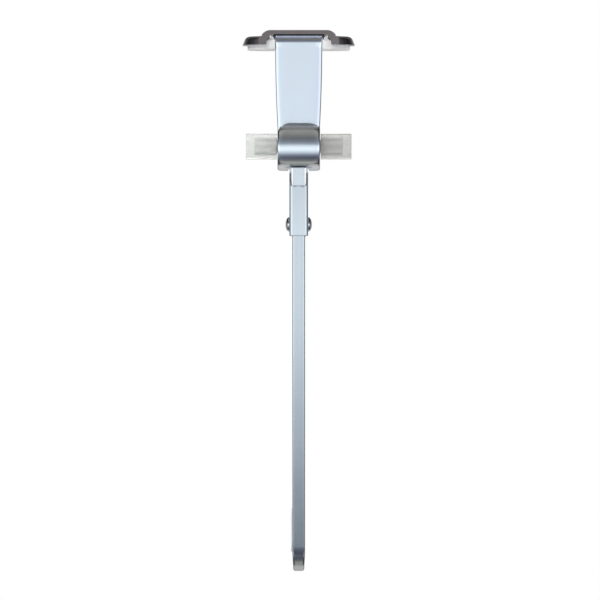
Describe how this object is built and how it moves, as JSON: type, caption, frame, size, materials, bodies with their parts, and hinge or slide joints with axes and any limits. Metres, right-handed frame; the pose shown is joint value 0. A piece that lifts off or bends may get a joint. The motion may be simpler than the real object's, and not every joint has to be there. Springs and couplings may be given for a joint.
{
  "type": "door security bar",
  "caption": "Door security bar: padded cover plate and strap, cross pin with soft sleeves at the strap's curled end, and a swing bar folding on a channel link.",
  "frame": {"origin": "where the strap's middle plane meets the plane of the pads' resting faces, halfway between the pads", "axes": "+Z out of the cover plate's top, with the bar hanging along -Z; +X along the cross pin; -Y is the side the curl's lip faces"},
  "size_m": [0.053, 0.0543, 0.2548],
  "materials": {
    "cover_plate": "polished chrome plate",
    "pad_left": "soft light grey silicone rubber",
    "pad_right": "soft light grey silicone rubber",
    "strap": "satin polished stainless steel",
    "foot_rivets": "flush stainless steel",
    "cross_pin": "ground stainless steel",
    "bush_left": "dark nylon",
    "bush_right": "dark nylon",
    "snap_ring_left": "spring steel",
    "snap_ring_right": "spring steel",
    "sleeve_left": "milky translucent silicone rubber",
    "sleeve_right": "milky translucent silicone rubber",
    "link": "satin polished stainless steel",
    "tongue": "satin stainless steel",
    "lock_pin": "ground steel",
    "bar_rivet": "polished stainless steel",
    "washer_left": "bronze",
    "washer_right": "bronze",
    "swing_bar": "satin polished stainless steel",
    "bar_bush": "sintered bronze",
    "bumper": "pale soft rubber"
  },
  "bodies": {
    "hanger": {"cover_plate": "cover_plate", "pad_left": "pad_left", "pad_right": "pad_right", "strap": "strap", "foot_rivets": "foot_rivets", "bush_left": "bush_left", "bush_right": "bush_right"},
    "pin_set": {"cross_pin": "cross_pin", "snap_ring_left": "snap_ring_left", "snap_ring_right": "snap_ring_right", "sleeve_left": "sleeve_left", "sleeve_right": "sleeve_right"},
    "link_set": {"link": "link", "tongue": "tongue", "lock_pin": "lock_pin", "bar_rivet": "bar_rivet", "washer_left": "washer_left", "washer_right": "washer_right"},
    "bar_set": {"swing_bar": "swing_bar", "bar_bush": "bar_bush", "bumper": "bumper"}
  },
  "joints": [
    {"name": "pin_roll", "type": "hinge", "parent": "hanger", "child": "pin_set", "pos_m": [0, -0.0104, -0.046], "axis": [1, 0, 0], "continuous": true},
    {"name": "link_swing", "type": "hinge", "parent": "hanger", "child": "link_set", "pos_m": [0, -0.0104, -0.046], "axis": [1, 0, 0], "range_deg": [-6, 90]},
    {"name": "bar_fold", "type": "hinge", "parent": "link_set", "child": "bar_set", "pos_m": [0, -0.0016, -0.0825], "axis": [1, 0, 0], "range_deg": [0, 55]}
  ]
}
